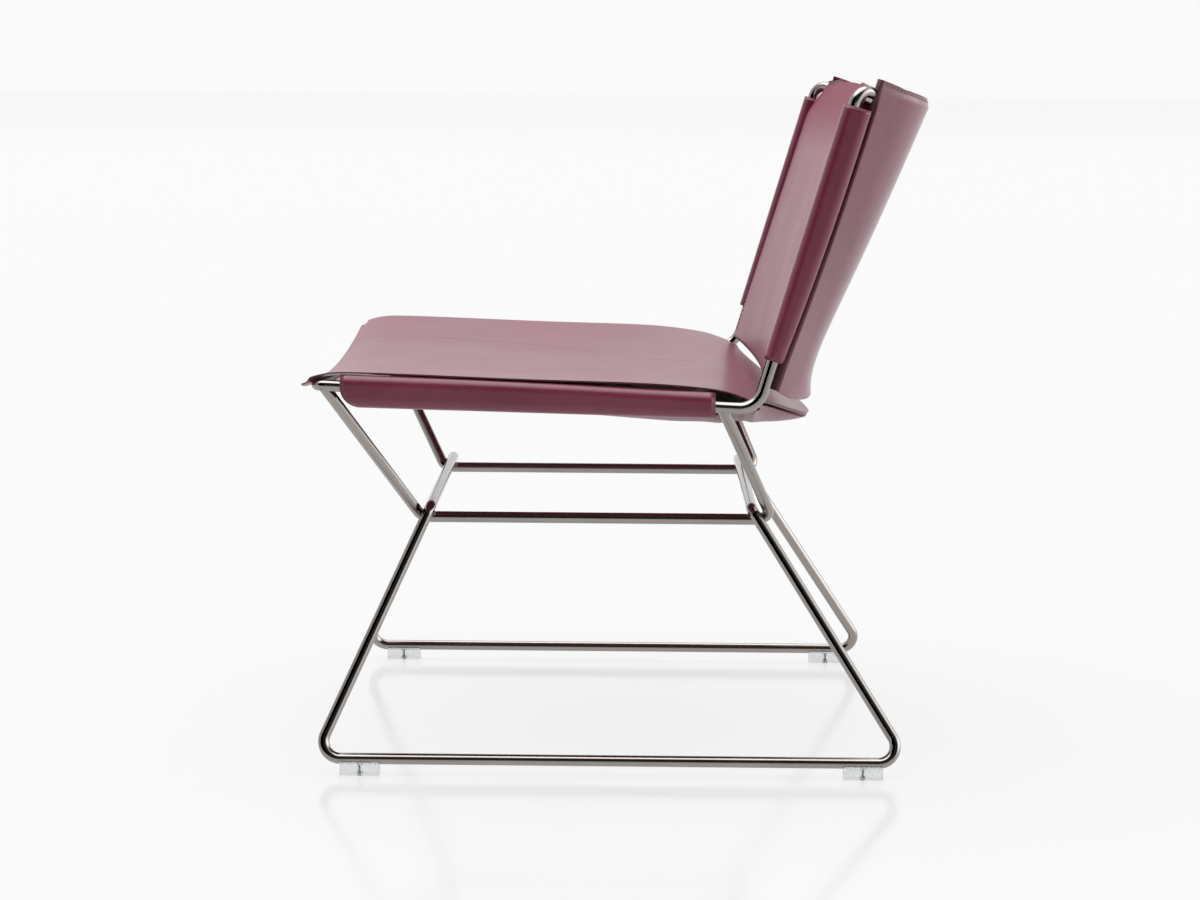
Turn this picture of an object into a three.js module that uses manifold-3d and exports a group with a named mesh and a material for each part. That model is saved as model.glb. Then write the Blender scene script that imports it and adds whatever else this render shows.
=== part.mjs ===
// Sling lounge chair: bent steel rod frame, saddle leather seat and back, clear glides.
// Millimetres, +Z up. The chair faces -Y and the sitter's left side is +X.
import * as THREE from 'three';
import { mergeVertices } from 'three/addons/utils/BufferGeometryUtils.js';
import Module from 'manifold-3d';

// Rod stock and the gaps between pieces
const ROD_D = 12;
const WELD_GAP = 0.3;
const SEAM_GAP = 0.3;
const LEATHER = 3;
const SLEEVE_SLACK = 1;

// Sled base: runner corners are measured where the straight runs would meet
const BASE_WIDTH = 550;
const BASE_LENGTH = 626;
const FLOOR_BEND_R = 18;
const WAIST_WIDTH = 374.5;
const WAIST_FRONT = 196.5;
const WAIST_REAR = 148.4;
const WAIST_BEND_R = 12;
const WAIST_STUB = 40;

// Side struts: each side is one rod, down from the rail, along the stretcher and up again
const STRETCHER_SPACING = 353.5;
const STRETCHER_HEIGHT = 259.3;
const STRETCHER_FRONT = 206.5;
const STRETCHER_REAR = 171;
const STRUT_BEND_R = 14;
const STRUT_TOP_FRONT = 297.3;
const STRUT_TOP_REAR = 110.9;
const STRUT_TOP_SHORT = 1;

// Seat rails, raked uprights and the bow that holds the back's rear leather
const RAIL_SPACING = 608;
const RAIL_FRONT_HEIGHT = 416.9;
const RAIL_REAR_HEIGHT = 395.2;
const RAIL_REAR = 147.4;
const FRONT_BAR = 304;
const FRONT_BEND_R = 10;
const FRONT_STUB = 30;
const FRONT_DIP = 17;
const UPRIGHT_LEAN = 16.53;
const UPRIGHT_LENGTH = 340;
const UPRIGHT_BEND_R = 26;
const BOW_DEPTH = 72.5;
const BOW_INSET = 57;
const BOW_DROP = 4.8;
const BOW_BEND_R = 15;
const BOW_CORNER_R = 80;
const BOW_STUB = 24;

// Glides and their screws
const GLIDE_HEIGHT = 11;
const GLIDE_LENGTH = 41;
const GLIDE_WIDTH = 16;
const GLIDE_SADDLE = 3;
const GLIDE_CORNER_R = 2;
const GLIDE_INSET = 48;
const SCREW_D = 4;
const SCREW_DEPTH = 7;
const SCREW_HEAD_D = 7;
const SCREW_HEAD_H = 2.5;
const SCREW_HEAD_RECESS = 1.5;

// Seat leather
const SEAT_OVERHANG = 7;
const SEAT_LIP = 6;
const SEAT_SLEEVE_FRONT = 279;
const SEAT_SLEEVE_CLEAR = 1;
const SEAT_SLEEVE_RISE_FRONT = 1;
const SEAT_SLEEVE_RISE_REAR = 3.5;
const SEAT_SLEEVE_DROP_FRONT = 11;
const SEAT_SLEEVE_DROP_REAR = 2;
const SEAT_SLEEVE_ROUND = 22;
const SEAT_NARROWS = 20;
const SEAT_NARROWING = 120;
const SEAT_NARROWING_POWER = 1.5;
const SEAT_DROP_START = 106;
const SEAT_ARCH = 1.8;
const TAIL_START = 144;
const TAIL_LENGTH = 75.5;
const TAIL_TAPER = 2.9;
const TAIL_SIDE_SHARE = 0.08;
const TAIL_BREAK_RISE = 5.6;
const TAIL_DROP = 41.3;
const TAIL_DROP_SHARE = 0.38;
const UNDER_FRONT = 258;
const UNDER_RIM_DROP = 8;
const UNDER_BELLY = 20;
const UNDER_BELLY_TAIL = 24;
const UNDER_TAIL_DROP = 9;
const UNDER_STRUT_CLEAR = 12;
const UNDER_STRUT_START = 58;

// Back leather, measured along and square to the uprights
const BACK_SLEEVE_BOTTOM = 52;
const BACK_SLEEVE_TOP = 321;
const BACK_SLEEVE_DEPTH_BOTTOM = 4;
const BACK_SLEEVE_DEPTH_TOP = 8;
const BACK_PANEL_BOTTOM = 13;
const BACK_PANEL_TOP = 344.5;
const BACK_PANEL_CORNER_R = 28;
const BACK_PANEL_ROLL = 12;
const BACK_PANEL_ROLL_START = 0.84;
const BACK_PANEL_EDGE_BOTTOM = -6.5;
const BACK_PANEL_EDGE_TOP = -1.5;
const BACK_PANEL_DISH = 4;
const BACK_PANEL_DISH_END = 10;
const WING_GAP = 3.5;
const WING_EAR = 8;
const WING_RISE = 4;
const TRAY_BOTTOM = 23.5;
const TRAY_TOP = 350.5;
const TRAY_WAIST = 79;
const TRAY_WAIST_DEPTH = 48.3;
const TRAY_BULGE = 2;
const TRAY_TUCK = 5;
const TRAY_FLARE = 14;
const TRAY_FLARE_LENGTH = 22;

// Facets
const ROD_SIDES = 12;
const SLEEVE_COLUMNS = 28;
const SEAT_TOP_GRID = [16, 32];
const SEAT_UNDER_GRID = [14, 20];
const BACK_FRONT_GRID = [14, 16];
const BACK_CORNER_ROWS = 0.625;
const TRAY_ROWS = 16;
const WING_COLUMNS = 3;
const FOLD_COLUMNS = 4;
const REAR_COLUMNS = 8;
const FRONT_BAR_STEPS = 12;
const BEND_STEP = THREE.MathUtils.degToRad(15);
const SLOPE_STEP = 1e-3;

// Values worked out from the sizes above
const ROD_R = ROD_D / 2;
const RUNNER_HEIGHT = GLIDE_HEIGHT + ROD_R;
const WAIST_HEIGHT = STRETCHER_HEIGHT + ROD_D + WELD_GAP;
const RAIL_X = RAIL_SPACING / 2;
const SLEEVE_R = ROD_R + SLEEVE_SLACK + LEATHER;
const RAIL_SLOPE = (RAIL_REAR_HEIGHT - RAIL_FRONT_HEIGHT) / (RAIL_REAR + FRONT_BAR);
const LEAN = THREE.MathUtils.degToRad(UPRIGHT_LEAN);
const SIDES = { left: 1, right: -1 };
const ENDS = { front: -1, rear: 1 };

// Finishes
const STEEL = new THREE.MeshStandardMaterial({ color: 0x6e6a68, roughness: 0.15, metalness: 1 });
const SCREW_STEEL = new THREE.MeshStandardMaterial({ color: 0x4a4a4c, roughness: 0.35, metalness: 1 });
const HIDE = new THREE.MeshStandardMaterial({ color: 0x6b2439, roughness: 0.45, metalness: 0 });
const CLEAR = new THREE.MeshStandardMaterial({ color: 0xdfe3e6, roughness: 0.1, metalness: 0 });

const wasm = await Module();
wasm.setup();

const chair = new THREE.Group();

function addPiece(name, geometry, material) {
  const mesh = new THREE.Mesh(geometry, material);
  mesh.name = name;
  chair.add(mesh);
}

function vec(x, y, z) {
  return new THREE.Vector3(x, y, z);
}

function heading(from, to) {
  return to.clone().sub(from).normalize();
}

// Height of a rail's centre line at a place along the seat
function railHeight(y) {
  return RAIL_FRONT_HEIGHT + RAIL_SLOPE * (y + FRONT_BAR);
}

// A place in the back's own frame: along the uprights, and square to them towards the rear
function backPlace(x, along, behind) {
  const y = RAIL_REAR + along * Math.sin(LEAN) + behind * Math.cos(LEAN);
  const z = RAIL_REAR_HEIGHT + along * Math.cos(LEAN) - behind * Math.sin(LEAN);
  return vec(x, y, z);
}

// Centre line of a bent rod: straight runs between corners, each corner rounded to its bend radius
class RodPath extends THREE.Curve {
  constructor(corners, radii) {
    super();
    const last = corners.length - 1;
    this.stations = [{ point: corners[0], tangent: heading(corners[0], corners[1]) }];
    for (let i = 1; i < last; i++) {
      this.addBend(corners[i - 1], corners[i], corners[i + 1], radii[i - 1]);
    }
    this.stations.push({ point: corners[last], tangent: heading(corners[last - 1], corners[last]) });
  }

  addBend(before, corner, after, radius) {
    const into = heading(before, corner);
    const out = heading(corner, after);
    const turn = into.angleTo(out);
    const start = corner.clone().addScaledVector(into, -radius * Math.tan(turn / 2));
    const inward = out.clone().addScaledVector(into, -Math.cos(turn)).normalize();
    const steps = Math.ceil(turn / BEND_STEP);
    for (let k = 0; k <= steps; k++) {
      const angle = (turn * k) / steps;
      const point = start.clone().addScaledVector(into, radius * Math.sin(angle));
      point.addScaledVector(inward, radius * (1 - Math.cos(angle)));
      const tangent = into.clone().multiplyScalar(Math.cos(angle));
      tangent.addScaledVector(inward, Math.sin(angle));
      this.stations.push({ point, tangent });
    }
  }

  station(u) {
    return this.stations[Math.round(u * (this.stations.length - 1))];
  }

  getPointAt(u, target = new THREE.Vector3()) {
    return target.copy(this.station(u).point);
  }

  getTangentAt(u, target = new THREE.Vector3()) {
    return target.copy(this.station(u).tangent);
  }
}

function rodAlong(path, steps, radius) {
  const section = new THREE.Shape();
  const ring = Array.from({ length: ROD_SIDES }, (_, i) => (2 * Math.PI * (i + 0.5)) / ROD_SIDES);
  section.setFromPoints(ring.map((a) => new THREE.Vector2(radius * Math.cos(a), radius * Math.sin(a))));
  return new THREE.ExtrudeGeometry(section, { steps, extrudePath: path });
}

function rodGeometry(corners, radii, radius = ROD_R) {
  const path = new RodPath(corners, radii);
  return rodAlong(path, path.stations.length - 1, radius);
}

// Solids for cutting: only the positions are kept, with shared corners merged
function toSolid(geometry) {
  const plain = geometry.clone();
  plain.deleteAttribute('normal');
  plain.deleteAttribute('uv');
  const merged = mergeVertices(plain, 1e-4);
  const vertProperties = new Float32Array(merged.attributes.position.array);
  const triVerts = new Uint32Array(merged.index.array);
  return new wasm.Manifold(new wasm.Mesh({ numProp: 3, vertProperties, triVerts }));
}

function toGeometry(solid) {
  const mesh = solid.getMesh();
  const geometry = new THREE.BufferGeometry();
  geometry.setAttribute('position', new THREE.BufferAttribute(mesh.vertProperties, 3));
  geometry.setIndex(new THREE.BufferAttribute(mesh.triVerts, 1));
  geometry.computeVertexNormals();
  return geometry;
}

function cutFrom(geometry, ...cutters) {
  let solid = toSolid(geometry);
  for (const cutter of cutters) {
    solid = solid.subtract(toSolid(cutter));
  }
  return toGeometry(solid);
}

// A leather sheet: surface(u, v) is its outer face and the inner face lies one thickness behind it.
// A looped sheet closes on itself across u, as a sleeve does.
function sheetGeometry(surface, columns, rows, looped = false) {
  const outer = [];
  const inner = [];
  const across = looped ? columns : columns + 1;
  for (let row = 0; row <= rows; row++) {
    for (let column = 0; column < across; column++) {
      const u = column / columns;
      const v = row / rows;
      const point = surface(u, v);
      const alongU = slope((t) => surface(t, v), u, looped);
      const alongV = slope((t) => surface(u, t), v, false);
      const normal = alongU.cross(alongV).normalize();
      outer.push(point);
      inner.push(point.clone().addScaledVector(normal, -LEATHER));
    }
  }
  const faces = [];
  const back = outer.length;
  const quad = (a, b, c, d) => faces.push(a, b, c, a, c, d);
  const at = (row, column) => row * across + (column % across);
  for (let row = 0; row < rows; row++) {
    for (let column = 0; column < columns; column++) {
      const a = at(row, column);
      const b = at(row, column + 1);
      const c = at(row + 1, column + 1);
      const d = at(row + 1, column);
      quad(a, b, c, d);
      quad(back + a, back + d, back + c, back + b);
    }
  }
  for (let column = 0; column < columns; column++) {
    const a = at(0, column);
    const b = at(0, column + 1);
    const c = at(rows, column);
    const d = at(rows, column + 1);
    quad(b, a, back + a, back + b);
    quad(c, d, back + d, back + c);
  }
  for (let row = 0; row < rows && !looped; row++) {
    const a = at(row, 0);
    const b = at(row + 1, 0);
    const c = at(row, columns);
    const d = at(row + 1, columns);
    quad(a, b, back + b, back + a);
    quad(d, c, back + c, back + d);
  }
  const geometry = new THREE.BufferGeometry().setFromPoints([...outer, ...inner]);
  geometry.setIndex(faces);
  geometry.computeVertexNormals();
  return geometry;
}

// Change of a sheet's place along one of its directions, taken inside the sheet at its edges
function slope(place, t, periodic) {
  const low = periodic ? t - SLOPE_STEP : Math.max(0, t - SLOPE_STEP);
  const high = periodic ? t + SLOPE_STEP : Math.min(1, t + SLOPE_STEP);
  return place(high).sub(place(low));
}

// Sled base: two runners with their legs, joined by two waist bars that pass over the stretchers
const legFoot = (side, end) => vec((side * BASE_WIDTH) / 2, (end * BASE_LENGTH) / 2, RUNNER_HEIGHT);
const waistY = { front: -WAIST_FRONT, rear: WAIST_REAR };
const waistPlace = (x, end) => vec(x, waistY[end], WAIST_HEIGHT);

function glidePlace(side, end) {
  return legFoot(side, end).add(vec(0, -end * GLIDE_INSET, 0));
}

function screwHole(side, end, radius, bottom, top) {
  const hole = new THREE.CylinderGeometry(radius, radius, top - bottom, ROD_SIDES);
  hole.rotateX(Math.PI / 2);
  const place = glidePlace(side, end);
  return hole.translate(place.x, place.y, (bottom + top) / 2);
}

function buildSled(name, side) {
  const stub = (end) => waistPlace(side * (WAIST_WIDTH / 2 - WAIST_STUB), end);
  const waist = (end) => waistPlace((side * WAIST_WIDTH) / 2, end);
  const feet = [legFoot(side, ENDS.front), legFoot(side, ENDS.rear)];
  const corners = [stub('front'), waist('front'), ...feet, waist('rear'), stub('rear')];
  const rod = rodGeometry(corners, [WAIST_BEND_R, FLOOR_BEND_R, FLOOR_BEND_R, WAIST_BEND_R]);
  const reach = GLIDE_HEIGHT + SCREW_DEPTH;
  const holes = Object.values(ENDS).map((end) => screwHole(side, end, SCREW_D / 2 + WELD_GAP, 0, reach));
  addPiece(`${name}_sled_rod`, cutFrom(rod, ...holes), STEEL);
}

function buildWaistBar(end) {
  const reach = WAIST_WIDTH / 2 - WAIST_STUB - WELD_GAP;
  const bar = rodGeometry([waistPlace(-reach, end), waistPlace(reach, end)], []);
  addPiece(`${end}_waist_bar`, bar, STEEL);
}

// How far the seat's front and its leather hang below the rails at a place across the chair
function dipAt(x) {
  return FRONT_DIP * Math.max(0, 1 - (x / RAIL_X) ** 2);
}

function frontPlace(x) {
  return vec(x, -FRONT_BAR, railHeight(-FRONT_BAR) - dipAt(x));
}

// Seat and back rods: front corner, seat rail, upright and the start of the bow's arm
function sideCorners(side) {
  const front = (x) => frontPlace(side * x);
  const top = backPlace(side * RAIL_X, UPRIGHT_LENGTH, 0);
  return [
    front(RAIL_X - FRONT_STUB),
    front(RAIL_X),
    vec(side * RAIL_X, RAIL_REAR, RAIL_REAR_HEIGHT),
    top,
    bowPlace(side, BOW_STUB),
  ];
}

// A place on the bow's arms, which draw in and drop slightly towards the rear
function bowPlace(side, behind) {
  const share = behind / BOW_DEPTH;
  return backPlace(side * (RAIL_X - BOW_INSET * share), UPRIGHT_LENGTH - BOW_DROP * share, behind);
}

function sideRod(side, radius) {
  return rodGeometry(sideCorners(side), [FRONT_BEND_R, UPRIGHT_BEND_R, BOW_BEND_R], radius);
}

function buildFrontBar() {
  const ends = [-1, 1].map((side) => frontPlace(side * (RAIL_X - FRONT_STUB - WELD_GAP)));
  const low = frontPlace(0);
  low.z += low.z - ends[0].z;
  const arc = new THREE.QuadraticBezierCurve3(ends[0], low, ends[1]);
  addPiece('seat_front_bar', rodAlong(arc, FRONT_BAR_STEPS, ROD_R), STEEL);
}

function buildBow() {
  const start = BOW_STUB + WELD_GAP;
  const corners = [
    bowPlace(SIDES.right, start),
    bowPlace(SIDES.right, BOW_DEPTH),
    bowPlace(SIDES.left, BOW_DEPTH),
    bowPlace(SIDES.left, start),
  ];
  addPiece('back_top_bow', rodGeometry(corners, [BOW_CORNER_R, BOW_CORNER_R]), STEEL);
}

// Side strut with both ends coped to the underside of its rail
function buildStrut(name, side) {
  const x = (side * STRETCHER_SPACING) / 2;
  const low = [vec(x, -STRETCHER_FRONT, STRETCHER_HEIGHT), vec(x, STRETCHER_REAR, STRETCHER_HEIGHT)];
  const top = (y) => vec(side * RAIL_X, y, railHeight(y));
  const shorten = (end, from) => end.addScaledVector(heading(end, from), STRUT_TOP_SHORT);
  const tops = [shorten(top(-STRUT_TOP_FRONT), low[0]), shorten(top(STRUT_TOP_REAR), low[1])];
  const rod = rodGeometry([tops[0], ...low, tops[1]], [STRUT_BEND_R, STRUT_BEND_R]);
  addPiece(`${name}_strut_rod`, cutFrom(rod, sideRod(side, ROD_R + WELD_GAP)), STEEL);
}

// Clear glide: a block with a saddle for the runner, bored for its screw
function buildGlide(name, side, end) {
  const half = GLIDE_WIDTH / 2;
  const cradle = ROD_R + WELD_GAP;
  const top = GLIDE_HEIGHT + GLIDE_SADDLE;
  const rim = Math.acos((cradle + WELD_GAP - GLIDE_SADDLE) / cradle);
  const profile = new THREE.Shape();
  profile.moveTo(-half + GLIDE_CORNER_R, 0);
  profile.lineTo(half - GLIDE_CORNER_R, 0);
  profile.lineTo(half, GLIDE_CORNER_R);
  profile.lineTo(half, top);
  profile.lineTo(cradle * Math.sin(rim), top);
  profile.absarc(0, RUNNER_HEIGHT, cradle, rim - Math.PI / 2, -rim - Math.PI / 2, true);
  profile.lineTo(-half, top);
  profile.lineTo(-half, GLIDE_CORNER_R);
  const block = new THREE.ExtrudeGeometry(profile, {
    depth: GLIDE_LENGTH,
    curveSegments: ROD_SIDES / 2,
    bevelEnabled: false,
  });
  block.rotateX(Math.PI / 2);
  const place = glidePlace(side, end);
  block.translate(place.x, place.y + GLIDE_LENGTH / 2, 0);
  const headTop = SCREW_HEAD_RECESS + SCREW_HEAD_H + SEAM_GAP;
  const bore = screwHole(side, end, SCREW_D / 2 + SEAM_GAP, -1, top);
  const recess = screwHole(side, end, SCREW_HEAD_D / 2 + SEAM_GAP, -1, headTop);
  addPiece(`${name}_glide`, cutFrom(block, bore, recess), CLEAR);
}

function buildScrew(name, side, end) {
  const shoulder = SCREW_HEAD_RECESS + SCREW_HEAD_H;
  const tip = GLIDE_HEIGHT + SCREW_DEPTH - WELD_GAP;
  const profile = [
    [0, SCREW_HEAD_RECESS],
    [SCREW_HEAD_D / 2, SCREW_HEAD_RECESS],
    [SCREW_HEAD_D / 2, shoulder],
    [SCREW_D / 2, shoulder],
    [SCREW_D / 2, tip],
    [0, tip],
  ].map(([r, z]) => new THREE.Vector2(r, z));
  const screw = new THREE.LatheGeometry(profile, ROD_SIDES);
  screw.rotateX(Math.PI / 2);
  const place = glidePlace(side, end);
  screw.translate(place.x, place.y, 0);
  addPiece(`${name}_glide_screw`, screw, SCREW_STEEL);
}

// A sleeve's section: a loop round the rod that stands clear of it by a rise on one side and a drop
function loopPoint(u, rise, drop) {
  const arc = Math.PI * SLEEVE_R;
  const flat = rise + drop;
  const run = (((u % 1) + 1) % 1) * 2 * (arc + flat);
  if (run < arc) {
    const angle = run / SLEEVE_R;
    return [SLEEVE_R * Math.cos(angle), SLEEVE_R * Math.sin(angle) + rise];
  }
  if (run < arc + flat) {
    return [-SLEEVE_R, rise + arc - run];
  }
  if (run < 2 * arc + flat) {
    const angle = (run - flat) / SLEEVE_R;
    return [SLEEVE_R * Math.cos(angle), SLEEVE_R * Math.sin(angle) - drop];
  }
  return [SLEEVE_R, run - 2 * arc - flat - drop];
}

// Seat sleeve: hangs below the rail, deeper at the front, with a rounded lower front corner
const seatSleeveRear = STRUT_TOP_REAR - ROD_R - SEAT_SLEEVE_CLEAR;

function seatSleeveRise(y) {
  const share = (y + SEAT_SLEEVE_FRONT) / (seatSleeveRear + SEAT_SLEEVE_FRONT);
  return THREE.MathUtils.lerp(SEAT_SLEEVE_RISE_FRONT, SEAT_SLEEVE_RISE_REAR, share);
}

function buildSeatSleeve(name, side) {
  const surface = (u, v) => {
    const drop = THREE.MathUtils.lerp(SEAT_SLEEVE_DROP_FRONT, SEAT_SLEEVE_DROP_REAR, v);
    const rise = THREE.MathUtils.lerp(SEAT_SLEEVE_RISE_FRONT, SEAT_SLEEVE_RISE_REAR, v);
    const [a, b] = loopPoint(u, rise, drop);
    const low = Math.max(0, -b / (drop + SLEEVE_R));
    const front = -SEAT_SLEEVE_FRONT + SEAT_SLEEVE_ROUND * (1 - Math.sqrt(1 - low * low));
    const y = THREE.MathUtils.lerp(front, seatSleeveRear, v);
    return vec(side * RAIL_X - a, y, railHeight(y) + b);
  };
  addPiece(`${name}_seat_sleeve`, sheetGeometry(surface, SLEEVE_COLUMNS, 2, true), HIDE);
}

// Back sleeve: round the upright, drawn out towards the rear at the top
function buildBackSleeve(name, side) {
  const surface = (u, v) => {
    const along = THREE.MathUtils.lerp(BACK_SLEEVE_BOTTOM, BACK_SLEEVE_TOP, v);
    const [a, b] = loopPoint(u, 0, backSleeveDepth(along));
    return backPlace(side * RAIL_X - a, along, -b);
  };
  addPiece(`${name}_back_sleeve`, sheetGeometry(surface, SLEEVE_COLUMNS, 2, true), HIDE);
}

function backSleeveDepth(along) {
  const share = (along - BACK_SLEEVE_BOTTOM) / (BACK_SLEEVE_TOP - BACK_SLEEVE_BOTTOM);
  return THREE.MathUtils.lerp(BACK_SLEEVE_DEPTH_BOTTOM, BACK_SLEEVE_DEPTH_TOP, share);
}

// Seat panels: both follow a profile drawn along the seat, as a height above the rails
const wrap = ROD_R + 2 * SEAM_GAP + LEATHER;
const tailMiddle = TAIL_START + TAIL_LENGTH / 2;
const tailEnd = TAIL_START + TAIL_LENGTH;

// Rise of the top panel's edge, which lies on the sleeves
function seatEdgeRise(y) {
  return SLEEVE_R + seatSleeveRise(y) + 2 * SEAM_GAP + LEATHER;
}

function profileCurve(points) {
  return new THREE.CatmullRomCurve3(points.map(([y, rise]) => vec(0, y, rise)), false, 'centripetal');
}

const topProfile = profileCurve([
  [-FRONT_BAR - wrap - SEAT_LIP, 0],
  [-FRONT_BAR - wrap, LEATHER],
  [-FRONT_BAR - wrap * Math.SQRT1_2, wrap * Math.SQRT1_2 + SEAM_GAP],
  [-FRONT_BAR, wrap + SEAM_GAP],
  [-FRONT_BAR + ROD_D, seatEdgeRise(-FRONT_BAR) - LEATHER / 2],
  [-SEAT_SLEEVE_FRONT, seatEdgeRise(-SEAT_SLEEVE_FRONT)],
  [-SEAT_SLEEVE_FRONT / 3, seatEdgeRise(-SEAT_SLEEVE_FRONT / 3)],
  [SEAT_DROP_START / 2, seatEdgeRise(SEAT_DROP_START / 2) + SEAT_ARCH],
  [SEAT_DROP_START, seatEdgeRise(SEAT_DROP_START)],
  [(SEAT_DROP_START + TAIL_START) / 2, (seatEdgeRise(SEAT_DROP_START) + TAIL_BREAK_RISE + LEATHER) / 2],
  [TAIL_START, TAIL_BREAK_RISE],
  [tailMiddle, TAIL_BREAK_RISE - TAIL_DROP_SHARE * TAIL_DROP],
  [tailEnd, TAIL_BREAK_RISE - TAIL_DROP],
]);

// Tail outline: rows beyond the tail's start draw out to a tongue
function tailRow(y, across) {
  if (y < TAIL_START) {
    return y;
  }
  const tongue = TAIL_SIDE_SHARE + (1 - TAIL_SIDE_SHARE) * (1 - across * across) ** TAIL_TAPER;
  return TAIL_START + (y - TAIL_START) * tongue;
}

function smooth(low, high, value) {
  return THREE.MathUtils.smoothstep(value, low, high);
}

// Place across a panel from -1 to 1, with its columns closer together towards the edges
function spread(u) {
  return Math.sin((u - 0.5) * Math.PI);
}

// Half width of the top panel: over the rails, then in between the uprights
const tailHalfWidth = RAIL_X - 2 * ROD_R;

function topHalfWidth(y) {
  const narrow = smooth(SEAT_NARROWS, SEAT_NARROWS + SEAT_NARROWING, y) ** SEAT_NARROWING_POWER;
  return THREE.MathUtils.lerp(RAIL_X + SEAT_OVERHANG, tailHalfWidth, narrow);
}

// Rise of the top panel over the rail line at a place along the seat
function riseAt(profile, y) {
  let low = 0;
  let high = 1;
  while (high - low > 1e-6) {
    const middle = (low + high) / 2;
    if (profile.getPoint(middle).y < y) {
      low = middle;
    } else {
      high = middle;
    }
  }
  return profile.getPoint(low).z;
}

function seatTopSurface(u, v) {
  const across = spread(u);
  const point = topProfile.getPoint(v);
  const y = tailRow(point.y, across);
  const rise = y > TAIL_START ? riseAt(topProfile, y) : point.z;
  const x = across * topHalfWidth(y);
  const dip = dipAt(x) * (1 - smooth(0, TAIL_START, y));
  return vec(x, y, railHeight(y) + rise - dip);
}

function buildSeatTop() {
  addPiece('seat_top_panel', sheetGeometry(seatTopSurface, ...SEAT_TOP_GRID), HIDE);
}

// Under panel: a shallow tray below the rails whose tail closes up to the top panel
const underProfile = profileCurve([
  [-UNDER_FRONT, -UNDER_RIM_DROP - LEATHER],
  [-UNDER_FRONT / 3, -UNDER_RIM_DROP],
  [SEAT_DROP_START, -UNDER_RIM_DROP - LEATHER],
  [TAIL_START, -UNDER_RIM_DROP],
  [tailMiddle, riseAt(topProfile, tailMiddle) - UNDER_TAIL_DROP],
  [tailEnd - LEATHER, riseAt(topProfile, tailEnd - LEATHER) - UNDER_TAIL_DROP],
]);

function underHalfWidth(y) {
  const full = RAIL_X - SLEEVE_R - SEAM_GAP;
  const narrow = smooth(UNDER_STRUT_START, SEAT_DROP_START - ROD_D, y);
  return full - UNDER_STRUT_CLEAR * narrow;
}

function seatUnderSurface(u, v) {
  const across = -spread(u);
  const row = underProfile.getPoint(v).y;
  const y = tailRow(row, across);
  const rise = riseAt(underProfile, y);
  const tail = Math.max(0, (row - TAIL_START) / (tailEnd - TAIL_START));
  const depth = THREE.MathUtils.lerp(UNDER_BELLY, UNDER_BELLY_TAIL, smooth(SEAT_DROP_START, tailMiddle, row));
  const belly = depth * (1 - across ** 8) * (1 - tail ** 4);
  return vec(across * underHalfWidth(y), y, railHeight(y) + rise - belly);
}

function buildSeatUnder() {
  addPiece('seat_under_panel', sheetGeometry(seatUnderSurface, ...SEAT_UNDER_GRID), HIDE);
}

// Back front panel: dished between the sleeves, with rounded top corners in its last rows
function backFrontSurface(u, v) {
  const across = spread(u);
  const angle = (Math.PI / 2) * Math.max(0, (v - BACK_CORNER_ROWS) / (1 - BACK_CORNER_ROWS));
  const straight = Math.min(1, v / BACK_CORNER_ROWS);
  const cornerStart = BACK_PANEL_TOP - BACK_PANEL_CORNER_R;
  const below = THREE.MathUtils.lerp(BACK_PANEL_BOTTOM, cornerStart, straight);
  const along = below + BACK_PANEL_CORNER_R * Math.sin(angle);
  const half = RAIL_X - SLEEVE_R - 3 * SEAM_GAP - BACK_PANEL_CORNER_R * (1 - Math.cos(angle));
  const share = (along - BACK_PANEL_BOTTOM) / (BACK_PANEL_TOP - BACK_PANEL_BOTTOM);
  const roll = BACK_PANEL_ROLL * smooth(BACK_PANEL_ROLL_START, 1, share);
  const edge = THREE.MathUtils.lerp(BACK_PANEL_EDGE_BOTTOM, BACK_PANEL_EDGE_TOP, share) + roll;
  const middle = BACK_PANEL_DISH + BACK_PANEL_DISH_END * (2 * share - 1) ** 4;
  const behind = edge + (middle - edge) * (1 - across * across);
  return backPlace(across * half, along, behind);
}

function buildBackFront() {
  addPiece('back_front_panel', sheetGeometry(backFrontSurface, ...BACK_FRONT_GRID), HIDE);
}

// Back rear panel: a tray hung on the bow, with slanted wings and a lower edge that flares out
const trayOffset = ROD_R + SEAM_GAP + LEATHER;
const trayTopDepth = BOW_DEPTH + trayOffset;
const trayTopAlong = UPRIGHT_LENGTH - BOW_DROP;
const traySlope = (trayTopDepth - TRAY_WAIST_DEPTH) / (trayTopAlong - TRAY_WAIST);
const trayFoldR = BOW_CORNER_R + trayOffset;
const armAngle = Math.atan2(BOW_INSET, BOW_DEPTH);

function trayDepth(along) {
  const flare = TRAY_FLARE * Math.exp((TRAY_BOTTOM - along) / TRAY_FLARE_LENGTH);
  const share = THREE.MathUtils.clamp((along - TRAY_WAIST) / (trayTopAlong - TRAY_WAIST), 0, 1);
  const bulge = TRAY_BULGE * Math.sin(Math.PI * share);
  const tuck = TRAY_TUCK * smooth(trayTopAlong + ROD_R, TRAY_TOP, along);
  return TRAY_WAIST_DEPTH + traySlope * (along - TRAY_WAIST) + flare + bulge - tuck;
}

function wingFront(along) {
  const ear = WING_EAR * smooth(BACK_SLEEVE_TOP, TRAY_TOP, along);
  return backSleeveDepth(along) + SLEEVE_R + WING_GAP - ear;
}

// Place across the chair of the flat that lies on the bow's arm
function wingX(behind) {
  return RAIL_X + (trayOffset - behind * Math.sin(armAngle)) / Math.cos(armAngle);
}

// The tray's section, from one wing's front edge round both folds to the other
const TRAY_COLUMNS = 2 * (WING_COLUMNS + FOLD_COLUMNS) + REAR_COLUMNS;

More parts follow.
